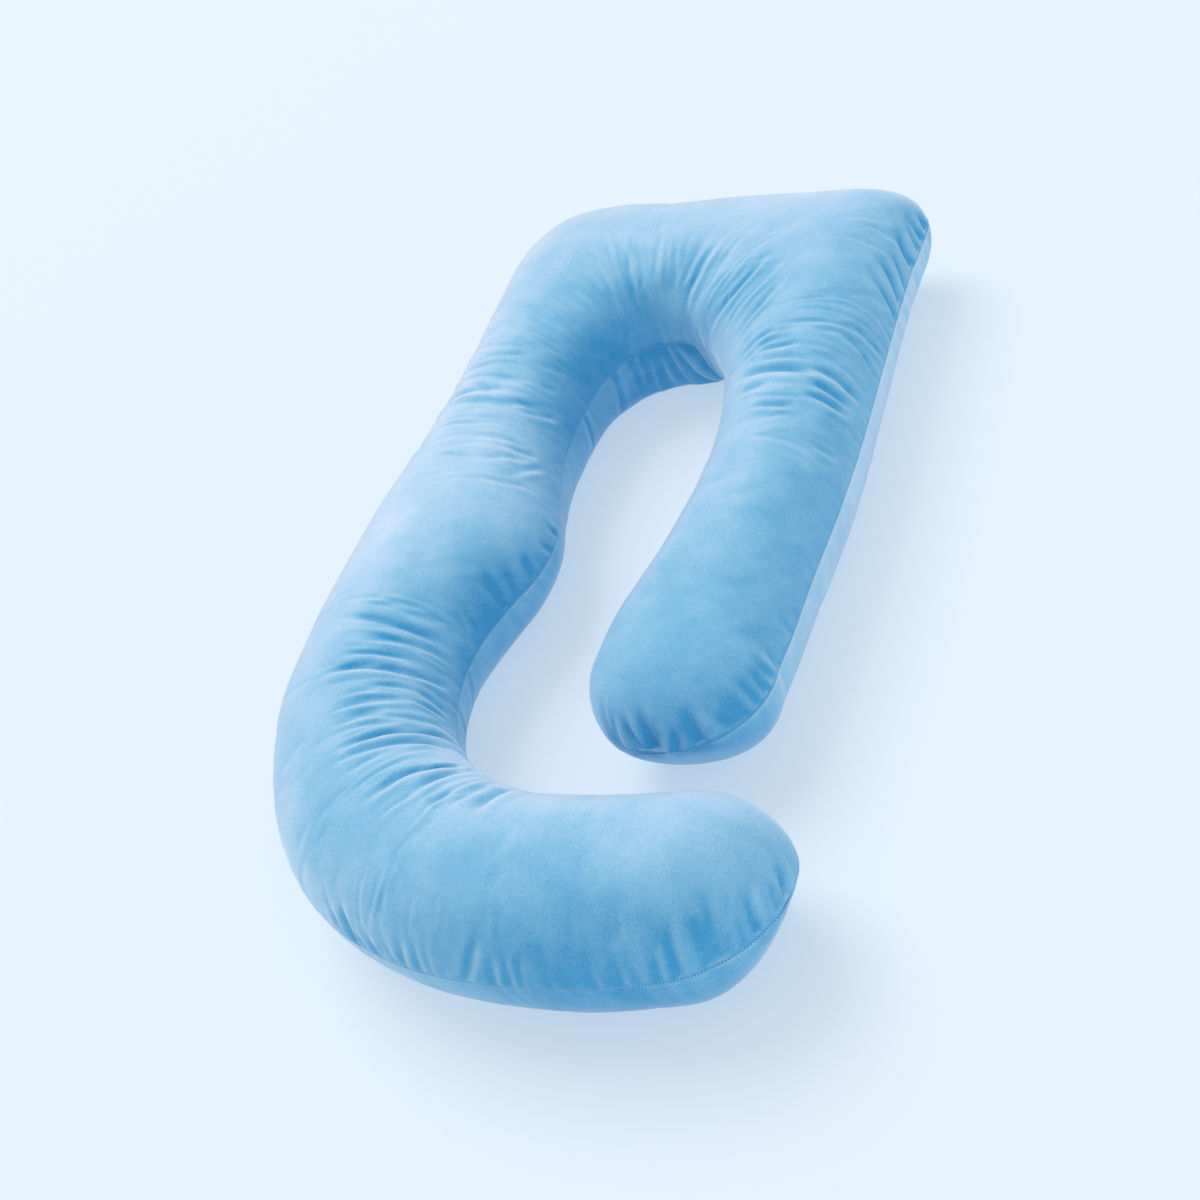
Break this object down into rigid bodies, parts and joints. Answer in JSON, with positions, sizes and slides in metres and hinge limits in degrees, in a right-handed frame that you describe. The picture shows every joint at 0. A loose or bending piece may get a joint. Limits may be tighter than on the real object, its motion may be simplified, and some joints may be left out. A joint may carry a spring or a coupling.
{
  "type": "body pillow",
  "caption": "Full-length body pillow in the shape of a rounded G: a filled velour cushion with a long and a short arm and a seam round its edge.",
  "frame": {"origin": "middle of the pillow's outline, on the surface that it lies on", "axes": "+Z out of the face, +Y along the two arms towards the closed top, +X from the long arm towards the short arm"},
  "size_m": [0.7836, 1.4314, 0.2299],
  "materials": {
    "velour": "short soft pile, matt with a pale sheen at grazing angles"
  },
  "bodies": {
    "root": {"pillow": "velour"}
  },
  "joints": []
}
